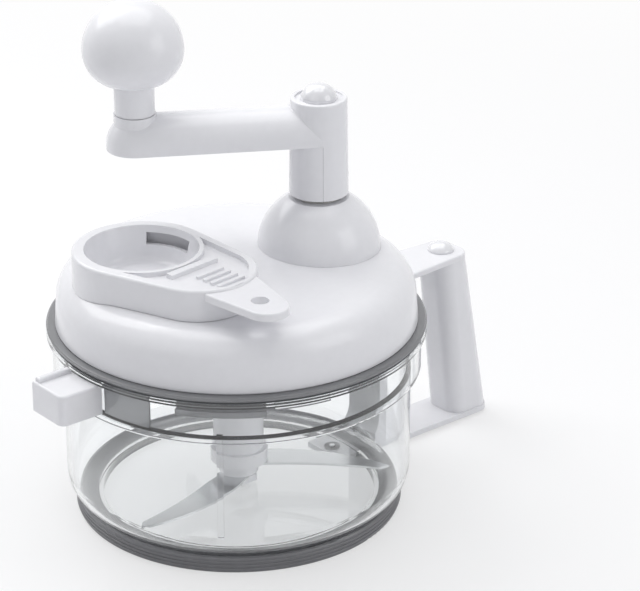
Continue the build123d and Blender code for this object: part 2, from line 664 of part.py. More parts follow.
def make_lid_shell():
    """White lid: feed hole with its tube, gear case walls and the bearing bosses."""
    lid = lid_outside() - lid_outside(LID_WALL, drop=1)
    inner = lid_outside(LID_WALL / 2)
    wall = slab(gear_case(WELL_WALL) - gear_case(0), PLATE_TOP, LID_TOP)
    lid += wall & inner
    chute = tube(FEED_R + CHUTE_WALL, FEED_R, LID_TOP - CHUTE_H, LID_TOP)
    lid += chute.moved(Pos(FEED_AXIS.X, FEED_AXIS.Y, 0)) & inner
    lid -= disc(FEED_R, LID_TOP - CHUTE_H - 1, LID_TOP + 1).moved(Pos(FEED_AXIS.X, FEED_AXIS.Y, 0))
    crank = Pos(CRANK_AXIS.X, CRANK_AXIS.Y, 0)
    lid += disc(BUSH_R + BOSS_WALL, BOSS_Z, DOME_SEAT_Z - FACE_GAP).moved(crank)
    lid -= disc(BUSH_R, BOSS_Z - 1, DOME_TOP).moved(crank)
    for place in plate_screw_places():
        post = disc(PLATE_BOSS_R, PLATE_TOP, LID_TOP).moved(Pos(place.X, place.Y, 0))
        lid += post & inner
        lid -= disc(PLATE_SCREW_R, PLATE_TOP - 1, PLATE_TOP + PLATE_DRILL).moved(Pos(place.X, place.Y, 0))
    lid += disc(SPINDLE_R + CUP_WALL, BOSS_Z, LID_TOP) & inner
    return lid - disc(SPINDLE_R + RUNNING, BOSS_Z - 1, SPINDLE_TOP + FREE)


def ball_slice(radius, centre_z, top):
    """Round bodied plug: a ball from its widest height up to a flat, over a straight foot."""
    top_r = sqrt(radius ** 2 - (top - centre_z) ** 2)
    half = atan2(top - centre_z, top_r) / 2
    middle = (radius * cos(half), centre_z + radius * sin(half))
    low = centre_z - LID_WALL - LID_SHOULDER
    face = make_face([Line((0, low), (radius, low)), Line((radius, low), (radius, centre_z)),
                      ThreePointArc((radius, centre_z), middle, (top_r, top)),
                      Line((top_r, top), (0, top)), Line((0, top), (0, low))])
    return revolve(Plane.XZ * face, Axis.Z)


def make_gear_dome():
    """Round cover over the crank's bearing, standing on the lid."""
    ring = disc(BUSH_R + SEATED, DOME_SEAT_Z - 1, DOME_TOP + 1)
    dome = ball_slice(DOME_R, DOME_CENTRE_Z, DOME_TOP)
    dome -= ball_slice(DOME_R - DOME_WALL, DOME_CENTRE_Z, DOME_SEAT_Z)
    dome = (dome - ring).moved(Pos(CRANK_AXIS.X, CRANK_AXIS.Y, 0))
    return dome - lid_outside(-FACE_GAP)


def make_gear_plate():
    """Plate under the gears with the shaft's lower bearing cup and the spindle's hole."""
    plate = slab(gear_plate_plan(0), PLATE_Z, PLATE_TOP - FACE_GAP)
    crank = Pos(CRANK_AXIS.X, CRANK_AXIS.Y, 0)
    cup_r = SHAFT_R + RUNNING
    plate += disc(cup_r + CUP_WALL, SHAFT_Z - CUP_WALL / 2, PLATE_TOP - FACE_GAP).moved(crank)
    plate -= disc(cup_r, SHAFT_Z - FACE_GAP, PLATE_TOP + 1).moved(crank)
    plate -= disc(SPINDLE_BUSH_R, PLATE_Z - 1, PLATE_TOP + 1)
    for place in plate_screw_places():
        hole = disc(PLATE_SCREW_R + SEATED, PLATE_Z - 1, PLATE_TOP + 1)
        plate -= hole.moved(Pos(place.X, place.Y, 0))
    return plate


def make_plate_screws():
    """Screws that hold the gear plate, heads below."""
    one = Rot(180, 0, 0) * screw(PLATE_SCREW_R, 2 * PLATE_SCREW_R, PLATE_SCREW_HEAD_T,
                                 PLATE_T + PLATE_SCREW_BITE)
    return [Pos(place.X, place.Y, PLATE_Z) * one for place in plate_screw_places()]


def make_crank_bush():
    """Bearing sleeve of the crank shaft; its flange holds the dome down."""
    bore = SHAFT_R + RUNNING
    sleeve = tube(BUSH_R - FACE_GAP, bore, BOSS_Z, DOME_TOP + BUSH_FLANGE_T)
    sleeve += tube(BUSH_FLANGE_R, bore, DOME_TOP + FACE_GAP, DOME_TOP + BUSH_FLANGE_T)
    return sleeve.moved(Pos(CRANK_AXIS.X, CRANK_AXIS.Y, 0))


def make_spindle_bush():
    """Bearing sleeve of the blade spindle in the gear plate."""
    bore = SPINDLE_R + RUNNING
    sleeve = tube(SPINDLE_BUSH_R - FACE_GAP, bore, PLATE_Z - SPINDLE_FLANGE_T, PLATE_TOP)
    low = PLATE_Z - FACE_GAP
    return sleeve + tube(SPINDLE_FLANGE_R, bore, low - SPINDLE_FLANGE_T, low)


# ---------------------------------------------------------------- separator cup

def make_feed_cap():
    """Separator cup that closes the feed hole: cup, skirt, finned spout and hanging tab."""
    body = hull([(0, 0, CAP_RIM_R), (CAP_NOSE_X, CAP_NOSE_Y, CAP_NOSE_R)])
    inside = hull([(0, 0, CAP_RIM_R - CAP_WALL), (CAP_NOSE_X, CAP_NOSE_Y, CAP_NOSE_R - CAP_WALL)])
    recess = hull([(0, 0, CUP_RIM_R + 1), (CAP_NOSE_X, CAP_NOSE_Y, CAP_NOSE_R - 2 * CAP_WALL),
                   (RECESS_END_X, CAP_NOSE_Y, RECESS_END_R)])
    skirt_low = LID_TOP - LID_SAG - LID_SHOULDER
    deck_z = CAP_RIM_Z - RECESS_DEPTH
    place = Pos(FEED_AXIS.X, FEED_AXIS.Y, 0) * Rot(0, 0, CAP_ANGLE)

    cap = soft_slab(body, skirt_low, CAP_RIM_Z, CAP_ROUND)
    cap -= slab(inside, skirt_low - 1, deck_z - CAP_WALL)
    cap -= slab(recess - Circle(CUP_RIM_R + CAP_WALL), deck_z, CAP_RIM_Z + 1)
    cap = place.inverse() * ((place * cap) - lid_outside(-CAP_GAP))

    slope = (CUP_RIM_R - CUP_FLOOR_R) / (CAP_RIM_Z - CUP_FLOOR_Z)
    low = CUP_FLOOR_Z - CAP_WALL
    floor_r = CUP_FLOOR_R - slope * CAP_WALL + CAP_WALL
    cup = turned([(0, low), (floor_r, low), (CUP_RIM_R + CAP_WALL, CAP_RIM_Z), (0, CAP_RIM_Z)])
    bowl = turned([(0, CUP_FLOOR_Z), (CUP_FLOOR_R, CUP_FLOOR_Z), (CUP_RIM_R, CAP_RIM_Z),
                   (CUP_RIM_R, CAP_RIM_Z + 1), (0, CAP_RIM_Z + 1)], [(1, 4.0)])
    cap = cap + cup - bowl

    tab = hull([(TAB_ROOT_X, CAP_NOSE_Y, TAB_ROOT_R), (TAB_END_X, TAB_END_Y, TAB_END_R)])
    tab_solid = soft_slab(tab, TAB_TOP_Z - TAB_T, TAB_TOP_Z, TAB_ROUND)
    cap += tab_solid - slab(inside, 0, deck_z) - slab(recess, deck_z, CAP_RIM_Z)
    cap -= disc(HANG_R, TAB_TOP_Z - TAB_T - 1, CAP_RIM_Z + 1).moved(Pos(HANG_X, 0, 0))

    cap += block(BAR_X - BAR_W / 2, BAR_X + BAR_W / 2, BAR_Y - BAR_L / 2, BAR_Y + BAR_L / 2,
                 deck_z - 1, deck_z + BAR_H)
    for number in range(FIN_COUNT):
        x = FIN_X + number * FIN_PITCH
        cap += block(x, x + FIN_W, FIN_Y - FIN_L / 2, FIN_Y + FIN_L / 2, deck_z - 1, deck_z + FIN_H)
    slot_in, slot_out, slot_top = CUP_FLOOR_R - 2, CUP_RIM_R + 3, SLOT_Z + SLOT_H
    slot = turned([(slot_in, SLOT_Z), (slot_out, SLOT_Z), (slot_out, slot_top), (slot_in, slot_top)],
                  start=SLOT_START, sweep=SLOT_SWEEP)
    return place * (cap - slot)


# ---------------------------------------------------------------- crank, in its own frame

CRANK_PLACE = Pos(CRANK_AXIS.X, CRANK_AXIS.Y, 0) * Rot(0, 0, ARM_ANGLE)


def column(shrink, bottom, top):
    """Tapered round column of the crank, smaller by a wall."""
    def radius(z):
        share = (z - COLUMN_Z) / (COLUMN_TOP - COLUMN_Z)
        return COLUMN_BOTTOM_R + share * (COLUMN_TOP_R - COLUMN_BOTTOM_R) - shrink
    return turned([(0, bottom), (radius(bottom), bottom), (radius(top), top), (0, top)],
                  [(2, COLUMN_ROUND)])


def arm_shape(shrink):
    """Half round arm with a round end and a straight skirt, smaller by a wall."""
    radius = ARM_R - shrink
    low = ARM_AXIS_Z - ARM_SKIRT - shrink
    plan = hull([(0, 0, radius), (CRANK_LENGTH, 0, radius)])
    above = slab(plan, ARM_AXIS_Z, ARM_AXIS_Z + ARM_R)
    bar = Pos(CRANK_LENGTH / 2, 0, ARM_AXIS_Z) * Rot(0, 90, 0) * Cylinder(radius, CRANK_LENGTH)
    for x in (0, CRANK_LENGTH):
        bar += Pos(x, 0, ARM_AXIS_Z) * Sphere(radius)
    return (bar & above) + slab(plan, low, ARM_AXIS_Z)


def make_crank_arm():
    """Crank shell: the channel of the arm and the outer half of the column in one piece."""
    reach = 2 * COLUMN_BOTTOM_R
    outer_half = block(-reach, 0, -reach, reach, COLUMN_Z, COLUMN_TOP)
    head = block(-reach, reach, -reach, reach, ARM_AXIS_Z - ARM_SKIRT, COLUMN_TOP)
    whole = column(0, COLUMN_Z, COLUMN_TOP)
    roof = COLUMN_TOP - COLUMN_RECESS - CRANK_WALL
    shell = (whole & (outer_half + head)) + arm_shape(0)
    shell -= column(CRANK_WALL, COLUMN_Z - 1, roof)
    shell -= arm_shape(CRANK_WALL) - column(0.01, ARM_AXIS_Z - reach, roof)
    knob_place = Pos(CRANK_LENGTH, 0, 0)
    shell += disc(ARM_BOSS_R, ARM_AXIS_Z - ARM_SKIRT + 1, ARM_BOSS_TOP).moved(knob_place)
    shell -= disc(PIN_R, COLUMN_Z, COLUMN_TOP).moved(knob_place)
    rim_w = COLUMN_TOP_R - CAP_R - COLUMN_RECESS
    shell -= disc(COLUMN_TOP_R - rim_w / 2, COLUMN_TOP - COLUMN_RECESS, COLUMN_TOP + 1)
    shell -= disc(SCREW_R + SEATED, COLUMN_Z, COLUMN_TOP)
    return CRANK_PLACE * shell


def make_crank_hub():
    """Inner half of the column: the core round the shaft and the face below the arm."""
    reach = 2 * COLUMN_BOTTOM_R
    roof = COLUMN_TOP - COLUMN_RECESS - CRANK_WALL - SEATED
    inner_half = block(SEATED, reach, -reach, reach, COLUMN_Z, ARM_AXIS_Z - ARM_SKIRT - SEATED)
    hub = column(CRANK_WALL + SEATED, COLUMN_Z, roof)
    hub += column(0, COLUMN_Z, ARM_AXIS_Z) & inner_half
    hub -= disc(SHAFT_R, COLUMN_Z - 1, SHAFT_TOP + SEATED)
    return CRANK_PLACE * (hub - disc(SCREW_R + SEATED, SHAFT_TOP - 1, COLUMN_TOP))


def make_crank_shaft():
    """Steel shaft from the gear plate's cup up into the crank, with a clip groove."""
    shaft = disc(SHAFT_R, SHAFT_Z, SHAFT_TOP)
    groove = clip_groove()
    shaft -= tube(SHAFT_R + 1, SHAFT_R - CLIP_DEPTH, groove, groove + CLIP_T)
    tap = disc(SCREW_R, COLUMN_TOP - COLUMN_RECESS - SCREW_L - 1, SHAFT_TOP + 1)
    return CRANK_PLACE * (shaft - tap)


def clip_groove():
    """Height of the groove for the gear's clip."""
    return GEAR_Z - CLIP_T - FACE_GAP


def make_gear_clip():
    """Clip that keeps the gear wheel on its shaft."""
    low = clip_groove()
    ring = tube(SHAFT_R + 2 * CLIP_T, SHAFT_R - CLIP_DEPTH + FACE_GAP, low, low + CLIP_T - FACE_GAP)
    gap = block(0, 2 * SHAFT_R, -SHAFT_R / 2, SHAFT_R / 2, low - 1, GEAR_Z)
    return CRANK_PLACE * (ring - gap)


def make_gear_wheel():
    """Large gear on the crank shaft; a gap between teeth faces the pinion at rest."""
    first = CRANK_ANGLE + 180 + 180 / WHEEL_TEETH
    wheel = involute_gear(WHEEL_TEETH, GEAR_Z, GEAR_TOP, first)
    web = tube(WHEEL_TIP_R - 4 * MODULE, GEAR_HUB_R + 2, GEAR_Z + GEAR_W * 0.65, GEAR_TOP + 1)
    wheel = wheel - web + disc(GEAR_HUB_R, GEAR_Z, HUB_TOP)
    wheel -= disc(SHAFT_R, GEAR_Z - 1, HUB_TOP + 1)
    return wheel.moved(Pos(CRANK_AXIS.X, CRANK_AXIS.Y, 0))


def make_thrust_washer():
    """Dark washer between the bearing flange and the crank."""
    low = DOME_TOP + BUSH_FLANGE_T + FACE_GAP
    return CRANK_PLACE * tube(THRUST_R, SHAFT_R + FACE_GAP, low, low + THRUST_T)


def make_crank_screw():
    """Screw that holds the crank on its shaft."""
    seat = COLUMN_TOP - COLUMN_RECESS
    return CRANK_PLACE * Pos(0, 0, seat) * screw(SCREW_R, SCREW_HEAD_R, SCREW_HEAD_T, SCREW_L)


def make_crank_cap():
    """Clear button over the crank's screw."""
    seat = COLUMN_TOP - COLUMN_RECESS
    cap = domed_cap(CAP_R, CAP_TOP - seat, SCREW_HEAD_R + SEATED, SCREW_HEAD_T + SEATED)
    return CRANK_PLACE * Pos(0, 0, seat) * cap


# ---------------------------------------------------------------- knob

KNOB_PLACE = CRANK_PLACE * Pos(CRANK_LENGTH, 0, 0)


def knob_flange_z():
    """Height where the knob's sleeve spreads inside the ball."""
    return KNOB_UNDER_Z + KNOB_WALL + FACE_GAP


def make_knob():
    """Hollow ball of the knob, flattened underneath."""
    def ball(shrink):
        top = KNOB_CENTRE_Z + KNOB_R - shrink
        wide = KNOB_R - shrink
        side = (wide, KNOB_CENTRE_Z)
        under = (KNOB_UNDER_R - shrink / 2, KNOB_UNDER_Z + shrink)
        fall = KNOB_CENTRE_Z - under[1]
        offset = (wide ** 2 - under[0] ** 2 - fall ** 2) / (2 * (wide - under[0]))
        half = atan2(fall, under[0] - offset) / 2
        low_mid = (offset + (wide - offset) * cos(half), KNOB_CENTRE_Z - (wide - offset) * sin(half))
        high_mid = dome_middle(wide, KNOB_CENTRE_Z, top)
        face = make_face([Line((0, under[1]), under), ThreePointArc(under, low_mid, side),
                          ThreePointArc(side, high_mid, (0, top)),
                          Line((0, top), (0, under[1]))])
        return revolve(Plane.XZ * face, Axis.Z)
    knob = ball(0) - ball(KNOB_WALL)
    return KNOB_PLACE * (knob - disc(NECK_R + FACE_GAP, KNOB_UNDER_Z - 1, KNOB_CENTRE_Z))


def make_knob_neck():
    """Sleeve under the ball that turns on the steel pin."""
    low = ARM_BOSS_TOP + CAP_GAP
    flange = knob_flange_z()
    top = flange + NECK_FLANGE_T
    bore = PIN_R + RUNNING
    neck = tube(NECK_R, bore, low, top) + tube(NECK_FLANGE_R, bore, flange, top)
    return KNOB_PLACE * neck


def make_knob_pin():
    """Steel pin fixed in the arm's boss."""
    top = knob_flange_z() + NECK_FLANGE_T + 3 * CLIP_T
    return KNOB_PLACE * disc(PIN_R, ARM_AXIS_Z - ARM_SKIRT + 1, top)


def make_knob_washer():
    """Washer riveted on the pin that keeps the knob on."""
    low = knob_flange_z() + NECK_FLANGE_T + CAP_GAP
    return KNOB_PLACE * tube(WASHER_R, PIN_R, low, low + CLIP_T)


# ---------------------------------------------------------------- blade unit

def blade_plan():
    """Curved blade along X, from the hub to its tip."""
    root, tip = BLADE_ROOT_W / 2, BLADE_TIP_R
    far = BLADE_TIP_R * 0.55
    point = (tip, -BLADE_SWEEP)
    heel = (tip - BLADE_TIP_W, -BLADE_SWEEP - BLADE_TIP_W / 2)
    back = ThreePointArc((0, root), (far, root - BLADE_SWEEP * 0.1), point)
    edge = ThreePointArc(heel, (far, -root * 0.9), (0, -root))
    return make_face([back, Line(point, heel), edge, Line((0, -root), (0, root))]) + Circle(root)


def blade(bottom, angle):
    """One flat steel blade with a hole for the hub."""
    plate = slab(blade_plan() - Circle(BLADE_ROOT_W / 3), bottom, bottom + BLADE_T)
    return Rot(0, 0, angle) * plate


def make_blade_tube():
    """White tube of the blade unit with its webs, flange and the seat of the low blade."""
    core = Circle(TUBE_R) - Circle(TUBE_R - TUBE_WALL) + Circle(TUBE_CORE_R)
    for angle in (0, 90):
        core += Rot(0, 0, angle) * Rectangle(2 * TUBE_R - TUBE_WALL, TUBE_WALL)
    flange_top = HUB_FLANGE_Z + HUB_FLANGE_T
    part = slab(core, flange_top, TUBE_TOP)
    part += disc(HUB_FLANGE_R, HUB_FLANGE_Z, flange_top)
    part += disc(BLADE_ROOT_W / 3 - FACE_GAP, TUBE_BOTTOM, HUB_FLANGE_Z)
    part -= disc(STUMP_R + RUNNING, TUBE_BOTTOM - 1, STUMP_TOP + FREE)
    part -= disc(SPINDLE_R, TUBE_TOP - SPINDLE_GRIP, TUBE_TOP + 1)
    slot = slab(blade_plan(), HIGH_BLADE_Z, HIGH_BLADE_Z + BLADE_T)
    return part - Rot(0, 0, BLADE_ANGLE + 120) * slot


def make_hub_spacer():
    """Spacer between the low and the middle blade."""
    bore = BLADE_ROOT_W / 3
    return tube(HUB_R, bore, LOW_BLADE_Z + BLADE_T, BLADE_Z)


def make_hub_nut():
    """Nut under the low blade."""
    bore = BLADE_ROOT_W / 3
    shape = RegularPolygon(HUB_R, 6) - Circle(bore)
    return slab(shape, TUBE_BOTTOM, LOW_BLADE_Z)


def make_high_blade():
    """Upper blade, moulded into the tube."""
    plate = slab(blade_plan(), HIGH_BLADE_Z, HIGH_BLADE_Z + BLADE_T)
    return Rot(0, 0, BLADE_ANGLE + 120) * plate


def make_drive_spindle():
    """Steel spindle from the blade tube up through the pinion to the lid's boss."""
    return disc(SPINDLE_R, TUBE_TOP - SPINDLE_GRIP, SPINDLE_TOP)


def make_drive_pinion():
    """Small gear on the spindle; one tooth points at the wheel at rest."""
    pinion = involute_gear(PINION_TEETH, GEAR_Z, GEAR_TOP, CRANK_ANGLE)
    pinion += disc(GEAR_HUB_R, GEAR_TOP, HUB_TOP)
    return pinion - disc(SPINDLE_R, GEAR_Z - 1, HUB_TOP + 1)


# ---------------------------------------------------------------- write the pieces

NODES = {
    "bowl": make_bowl(),
    "base_ring": make_base_ring(),
    "handle_strap": make_handle_strap(),
    "handle_grip": make_handle_grip(),
    "handle_screws": make_handle_screws(),
    "handle_cap": make_handle_cap(),
    "front_catch": make_front_catch(),
    "catch_screw": make_catch_screw(),
    "rim_seal": make_rim_seal(),
    "lock_ring": make_lock_ring(),
    "lid_shell": make_lid_shell(),
    "gear_dome": make_gear_dome(),
    "gear_plate": make_gear_plate(),
    "plate_screws": make_plate_screws(),
    "crank_bush": make_crank_bush(),
    "spindle_bush": make_spindle_bush(),
    "feed_cap": make_feed_cap(),
    "crank_arm": make_crank_arm(),
    "crank_hub": make_crank_hub(),
    "crank_shaft": make_crank_shaft(),
    "gear_clip": make_gear_clip(),
    "gear_wheel": make_gear_wheel(),
    "thrust_washer": make_thrust_washer(),
    "crank_screw": make_crank_screw(),
    "crank_cap": make_crank_cap(),
    "knob": make_knob(),
    "knob_neck": make_knob_neck(),
    "knob_pin": make_knob_pin(),
    "knob_washer": make_knob_washer(),
    "blade_tube": make_blade_tube(),
    "hub_spacer": make_hub_spacer(),
    "hub_nut": make_hub_nut(),
    "blade_low": blade(LOW_BLADE_Z, BLADE_ANGLE - 120),
    "blade_middle": blade(BLADE_Z, BLADE_ANGLE),
    "blade_high": make_high_blade(),
    "drive_spindle": make_drive_spindle(),
    "drive_pinion": make_drive_pinion(),
}

os.makedirs("parts", exist_ok=True)
for name, shape in NODES.items():
    pieces = shape if isinstance(shape, list) else [shape]
    solids = [solid for piece in pieces for solid in piece.solids()]
    whole = solids[0] if len(solids) == 1 else Compound(children=solids)
    export_step(whole, f"parts/{name}.step")
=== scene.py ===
"""Hand cranked food chopper: finishes, fine beads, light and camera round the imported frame."""
import math

import bpy
import numpy as np
from mathutils import Matrix, Vector


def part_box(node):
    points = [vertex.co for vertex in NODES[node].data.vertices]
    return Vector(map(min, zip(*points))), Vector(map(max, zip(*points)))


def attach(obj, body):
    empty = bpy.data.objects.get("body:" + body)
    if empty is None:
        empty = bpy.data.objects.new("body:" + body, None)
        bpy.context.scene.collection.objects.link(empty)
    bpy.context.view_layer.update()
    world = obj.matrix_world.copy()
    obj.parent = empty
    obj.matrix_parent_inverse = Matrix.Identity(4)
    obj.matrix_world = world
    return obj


bl_info = {
    "name": "Crank food chopper",
    "version": (1, 0, 0),
    "blender": (4, 5, 0),
    "location": "View3D > Sidebar > Chopper",
    "description": "Dresses the hand cranked food chopper and sets up its studio",
    "category": "Object",
}

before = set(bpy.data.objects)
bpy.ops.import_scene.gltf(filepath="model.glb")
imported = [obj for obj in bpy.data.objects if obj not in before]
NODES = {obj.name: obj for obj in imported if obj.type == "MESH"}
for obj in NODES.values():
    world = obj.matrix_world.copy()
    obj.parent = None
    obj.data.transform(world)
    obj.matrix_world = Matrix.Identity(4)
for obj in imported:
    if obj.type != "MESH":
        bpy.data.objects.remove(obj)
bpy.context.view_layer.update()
MM = 0.001

LOCK_BEAD_DROP = 1.1 * MM   # from the lid's lower edge down to the bead's middle
BEAD_STEPS = 240            # rings of points along a bead
BEAD_SIDES = 10             # points round a bead

# Skin of each plastic: roughness, how far it varies, and depth of the moulded waves
WHITE_SKIN = (0.21, 0.05, 0.05 * MM)
FOOT_SKIN = (0.16, 0.06, 0.03 * MM)
SEAL_SKIN = (0.5, 0.1, 0.05 * MM)
GEAR_SKIN = (0.45, 0.1, 0.05 * MM)
PEARL_SKIN = (0.08, 0.02, 0.02 * MM)
CLEAR_SKIN = (0.02, 0.02, 0.04 * MM)
SMOKE_SKIN = (0.07, 0.02, 0.04 * MM)
STEEL_DEPTH = 0.02 * MM     # depth of the ground lines
PLASTIC_BUMP = 0.35         # how strongly each kind's height shows
CLEAR_BUMP = 0.2
STEEL_BUMP = 0.4
CLEAR_LIGHT = 0.93          # share of the lamps' light that passes through
SMOKE_LIGHT = 0.3
SMOKE_CLEARNESS = 0.55      # share of the smoke plastic that is see-through

# Backdrop: floor, a quarter circle and a wall, in metres
BACKDROP = {"back": 7.0, "width": 6.0, "radius": 2.5, "height": 5.0}
SHADOW_REACH = 0.3          # floor this near the object keeps its whole shadow
WHITE_REACH = 1.1           # floor beyond this is seen as plain white
SENSOR = 36.0               # camera's sensor width in millimetres

# Lamps: name, place from the aim as the camera sees it (right, away, up), width and height
LAMPS = (
    ("key", (-0.75, 0.55, 0.95), (0.9, 0.9)),
    ("top", (0.0, 0.25, 1.3), (1.2, 1.2)),
    ("fill", (-0.55, -1.0, 0.75), (0.9, 0.7)),
    ("side", (1.1, -0.55, 0.55), (0.7, 0.8)),
)

# Nodes by finish
WHITE = ("lid_shell", "gear_dome", "feed_cap", "crank_arm", "crank_hub", "knob", "knob_neck",
         "handle_strap", "handle_grip", "front_catch", "blade_tube", "hub_spacer", "hub_nut",
         "gear_plate")
CLEAR = ("bowl",)
SMOKE = ("lock_ring",)
FOOT = ("base_ring",)
SEAL = ("rim_seal", "thrust_washer")
PEARL = ("handle_cap", "crank_cap")
GEAR = ("gear_wheel", "drive_pinion", "crank_bush", "spindle_bush")
STEEL = ("blade_low", "blade_middle", "blade_high", "handle_screws", "catch_screw", "plate_screws",
         "crank_shaft", "gear_clip", "crank_screw", "knob_pin", "knob_washer", "drive_spindle")


# ---------------------------------------------------------------- settings a user would change

class ChopperColours(bpy.types.PropertyGroup):
    """Colours of the finishes."""
    white: bpy.props.FloatVectorProperty(
        name="White plastic", description="Lid, crank, handle and separator cup",
        subtype="COLOR", size=3, min=0, max=1, default=(0.82, 0.82, 0.845))
    clear: bpy.props.FloatVectorProperty(
        name="Clear plastic", description="Tint of the bowl",
        subtype="COLOR", size=3, min=0, max=1, default=(0.965, 0.975, 0.98))
    smoke: bpy.props.FloatVectorProperty(
        name="Smoke plastic", description="Tint of the lock ring",
        subtype="COLOR", size=3, min=0, max=1, default=(0.40, 0.405, 0.42))
    foot: bpy.props.FloatVectorProperty(
        name="Base ring", description="Dark ring under the bowl",
        subtype="COLOR", size=3, min=0, max=1, default=(0.175, 0.176, 0.186))
    seal: bpy.props.FloatVectorProperty(
        name="Rubber", description="Rim seal and washer",
        subtype="COLOR", size=3, min=0, max=1, default=(0.05, 0.052, 0.056))
    steel: bpy.props.FloatVectorProperty(
        name="Steel", description="Blades, shafts and screws",
        subtype="COLOR", size=3, min=0, max=1, default=(0.72, 0.73, 0.74))
    gear: bpy.props.FloatVectorProperty(
        name="Gear plastic", description="Gears and bearing sleeves",
        subtype="COLOR", size=3, min=0, max=1, default=(0.70, 0.69, 0.65))


class ChopperRings(bpy.types.PropertyGroup):
    """Fine beads on the two smoke rings."""
    lock_bead: bpy.props.FloatProperty(
        name="Lock ring bead", description="Radius of the bead round the lock ring",
        subtype="DISTANCE", unit="LENGTH", default=0.45 * MM)
    foot_bead: bpy.props.FloatProperty(
        name="Base ring ribs", description="Radius of the ribs round the base ring",
        subtype="DISTANCE", unit="LENGTH", default=0.5 * MM)
    foot_count: bpy.props.IntProperty(
        name="Ribs", description="Number of ribs on the base ring", min=1, max=5, default=3)
    foot_pitch: bpy.props.FloatProperty(
        name="Rib pitch", description="Height from one rib to the next",
        subtype="DISTANCE", unit="LENGTH", default=1.9 * MM)
    tongue_gap: bpy.props.FloatProperty(
        name="Rib gap", description="Half the angle that the handle's tongue takes from the ribs",
        subtype="ANGLE", default=math.radians(13))


class ChopperStudio(bpy.types.PropertyGroup):
    """Camera and light."""
    azimuth: bpy.props.FloatProperty(
        name="Azimuth", description="Turn of the camera round the object",
        subtype="ANGLE", default=math.radians(-39.5))
    elevation: bpy.props.FloatProperty(
        name="Elevation", description="Height of the camera above the horizon",
        subtype="ANGLE", default=math.radians(24.457))
    distance: bpy.props.FloatProperty(
        name="Distance", description="Camera to the point it looks at",
        subtype="DISTANCE", unit="LENGTH", default=1.4)
    lens: bpy.props.FloatProperty(
        name="Lens", description="Focal length on a 36 mm sensor", default=156.92)
    aim: bpy.props.FloatVectorProperty(
        name="Aim", description="Point in the middle of the picture",
        subtype="XYZ", unit="LENGTH", size=3, default=(0.03231, -0.02663, 0.11199))
    key_power: bpy.props.FloatProperty(
        name="Key light", description="Large lamp behind on the left", unit="POWER", default=7.8)
    top_power: bpy.props.FloatProperty(
        name="Top light", description="Large lamp overhead", unit="POWER", default=8.2)
    fill_power: bpy.props.FloatProperty(
        name="Fill light", description="Large lamp in front on the left", unit="POWER", default=0.9)
    side_power: bpy.props.FloatProperty(
        name="Side light", description="Lamp in front on the right", unit="POWER", default=3.2)
    sky: bpy.props.FloatProperty(
        name="Sky", description="Even light from all round", min=0, default=0.43)
    floor: bpy.props.FloatVectorProperty(
        name="Floor", description="Colour of the floor", subtype="COLOR", size=3, min=0, max=1,
        default=(0.90, 0.90, 0.91))
    wash: bpy.props.FloatProperty(
        name="Floor wash", description="How far the seen floor is paled towards white",
        subtype="FACTOR", min=0, max=1, default=0.55)


# ---------------------------------------------------------------- node helpers

def group_tree(name, inputs, outputs):
    """New shader group with (name, kind, default) inputs and (name, kind) outputs."""
    tree = bpy.data.node_groups.new(name, "ShaderNodeTree")
    for label, kind, value in inputs:
        socket = tree.interface.new_socket(label, in_out="INPUT", socket_type=kind)
        socket.default_value = value
    for label, kind in outputs:
        tree.interface.new_socket(label, in_out="OUTPUT", socket_type=kind)
    return tree, tree.nodes.new("NodeGroupInput"), tree.nodes.new("NodeGroupOutput")


def add(tree, kind, values=(), **settings):
    """New node; values fills its sockets by name or number, settings its properties."""
    node = tree.nodes.new(kind)
    for key, value in settings.items():
        setattr(node, key, value)
    for key, value in dict(values).items():
        node.inputs[key].default_value = value
    return node


def place_group(tree, group, values):
    """A shared group in a material's tree, with its own values."""
    node = tree.nodes.new("ShaderNodeGroup")
    node.node_tree = group
    for key, value in values.items():
        node.inputs[key].default_value = value
    return node


def moulded_skin_group():
    """Moulded plastic: slow waves and fine grain as a height, and an uneven gloss."""
    tree, start, end = group_tree(
        "Moulded skin",
        [("Wave size", "NodeSocketFloat", 30.0), ("Grain size", "NodeSocketFloat", 900.0),
         ("Grain share", "NodeSocketFloat", 0.12), ("Roughness", "NodeSocketFloat", 0.2),
         ("Spread", "NodeSocketFloat", 0.05)],
        [("Height", "NodeSocketFloat"), ("Roughness", "NodeSocketFloat")])
    place = add(tree, "ShaderNodeTexCoord")
    wave = add(tree, "ShaderNodeTexNoise", {"Detail": 2.0})
    grain = add(tree, "ShaderNodeTexNoise", {"Detail": 3.0})
    mix = add(tree, "ShaderNodeMix", data_type="FLOAT")
    spread = add(tree, "ShaderNodeMath", {1: 0.5}, operation="SUBTRACT")
    gloss = add(tree, "ShaderNodeMath", operation="MULTIPLY_ADD")
    link = tree.links.new
    link(place.outputs["Object"], wave.inputs["Vector"])
    link(place.outputs["Object"], grain.inputs["Vector"])
    link(start.outputs["Wave size"], wave.inputs["Scale"])
    link(start.outputs["Grain size"], grain.inputs["Scale"])
    link(start.outputs["Grain share"], mix.inputs["Factor"])
    link(wave.outputs["Fac"], mix.inputs["A"])
    link(grain.outputs["Fac"], mix.inputs["B"])
    link(mix.outputs["Result"], end.inputs["Height"])
    link(wave.outputs["Fac"], spread.inputs[0])
    link(spread.outputs[0], gloss.inputs[0])
    link(start.outputs["Spread"], gloss.inputs[1])
    link(start.outputs["Roughness"], gloss.inputs[2])
    link(gloss.outputs[0], end.inputs["Roughness"])
    return tree


